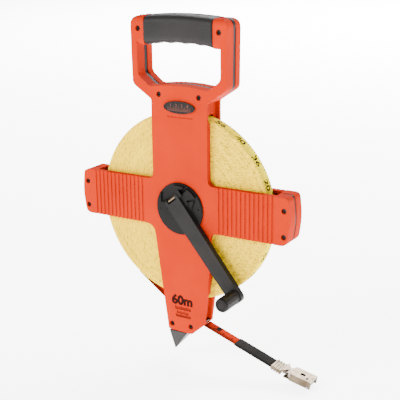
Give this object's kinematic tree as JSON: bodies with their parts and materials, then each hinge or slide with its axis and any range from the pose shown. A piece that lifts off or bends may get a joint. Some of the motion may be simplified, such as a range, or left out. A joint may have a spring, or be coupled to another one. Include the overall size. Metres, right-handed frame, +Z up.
{
  "type": "open reel measuring tape",
  "caption": "Open-reel fibreglass measuring tape: orange cross frame with a carrying grip, ground spike, folding winding crank and a hook on the blade's end.",
  "frame": {"origin": "centre of the handle grip, where a hand holds the tape", "axes": "+Z up from the ground spike to the grip, -Y towards the crank side, +X towards the side where the blade leaves"},
  "size_m": [0.2627, 0.0618, 0.3547],
  "materials": {
    "orange_plastic": "satin moulded",
    "black_plastic": "satin moulded",
    "grip_rubber": "matte",
    "blade_yellow": "coated fibreglass, wound edges",
    "blade_red": "coated fibreglass",
    "acetal": "satin",
    "nickel": "bright plated",
    "steel": "satin",
    "black_screws": "black oxide"
  },
  "bodies": {
    "frame": {"front_frame": "orange_plastic", "rear_frame": "orange_plastic", "handle_spacer": "black_plastic", "arm_strip_left": "black_plastic", "arm_strip_right": "black_plastic", "grip_front": "grip_rubber", "grip_rear": "grip_rubber", "screw_handle_left": "black_screws", "screw_handle_right": "black_screws", "screw_neck_left": "black_screws", "screw_neck_right": "black_screws", "screw_arm_left_upper": "black_screws", "screw_arm_left_lower": "black_screws", "screw_arm_right_upper": "black_screws", "screw_arm_right_lower": "black_screws", "screw_nose_left": "black_screws", "screw_nose_right": "black_screws", "ground_spike": "black_plastic", "badge": "black_plastic", "front_bush": "acetal", "rear_bush": "acetal", "guide_roller_pin_lower": "steel", "guide_roller_pin_upper": "steel", "mouth_pin": "nickel", "blade_span": "blade_red", "blade_end": "blade_red", "blade_sleeve": "black_plastic"},
    "reel": {"reel_hub": "acetal", "tape_anchor": "steel", "wound_tape": "blade_yellow", "reel_axle": "steel", "axle_washer": "steel", "axle_nut": "steel", "crank_disc": "black_plastic", "crank_fold_pin": "nickel"},
    "crank_arm": {"crank_arm": "black_plastic", "knob_pin": "steel"},
    "crank_knob": {"crank_knob": "black_plastic", "knob_cap": "black_plastic"},
    "guide_roller_lower": {"guide_roller_lower": "acetal"},
    "guide_roller_upper": {"guide_roller_upper": "acetal"},
    "blade_hook": {"blade_crimp": "nickel", "hook_bracket": "nickel", "hook_pin": "steel"},
    "hook_claw": {"hook_claw": "nickel"}
  },
  "joints": [
    {"name": "reel_spin", "type": "hinge", "parent": "frame", "child": "reel", "pos_m": [0, 0, -0.175], "axis": [0, -1, 0], "continuous": true},
    {"name": "crank_fold", "type": "hinge", "parent": "reel", "child": "crank_arm", "pos_m": [-0.00637, -0.0174, -0.16474], "axis": [-0.7826, 0, -0.6225], "range_deg": [0, 180]},
    {"name": "knob_spin", "type": "hinge", "parent": "crank_arm", "child": "crank_knob", "pos_m": [0.06459, -0.033, -0.25395], "axis": [0, -1, 0], "continuous": true},
    {"name": "lower_roller_spin", "type": "hinge", "parent": "frame", "child": "guide_roller_lower", "pos_m": [-0.008, 0, -0.29], "axis": [0, -1, 0], "continuous": true},
    {"name": "upper_roller_spin", "type": "hinge", "parent": "frame", "child": "guide_roller_upper", "pos_m": [0.012, 0, -0.2908], "axis": [0, -1, 0], "continuous": true},
    {"name": "blade_pull", "type": "slide", "parent": "frame", "child": "blade_hook", "axis": [0.9444, 0, -0.3289], "range_m": [-0.07, 0], "deforming": ["blade_end", "blade_sleeve"]},
    {"name": "claw_fold", "type": "hinge", "parent": "blade_hook", "child": "hook_claw", "pos_m": [0.13854, 0, -0.33797], "axis": [0, -1, 0], "range_deg": [0, 90]}
  ]
}
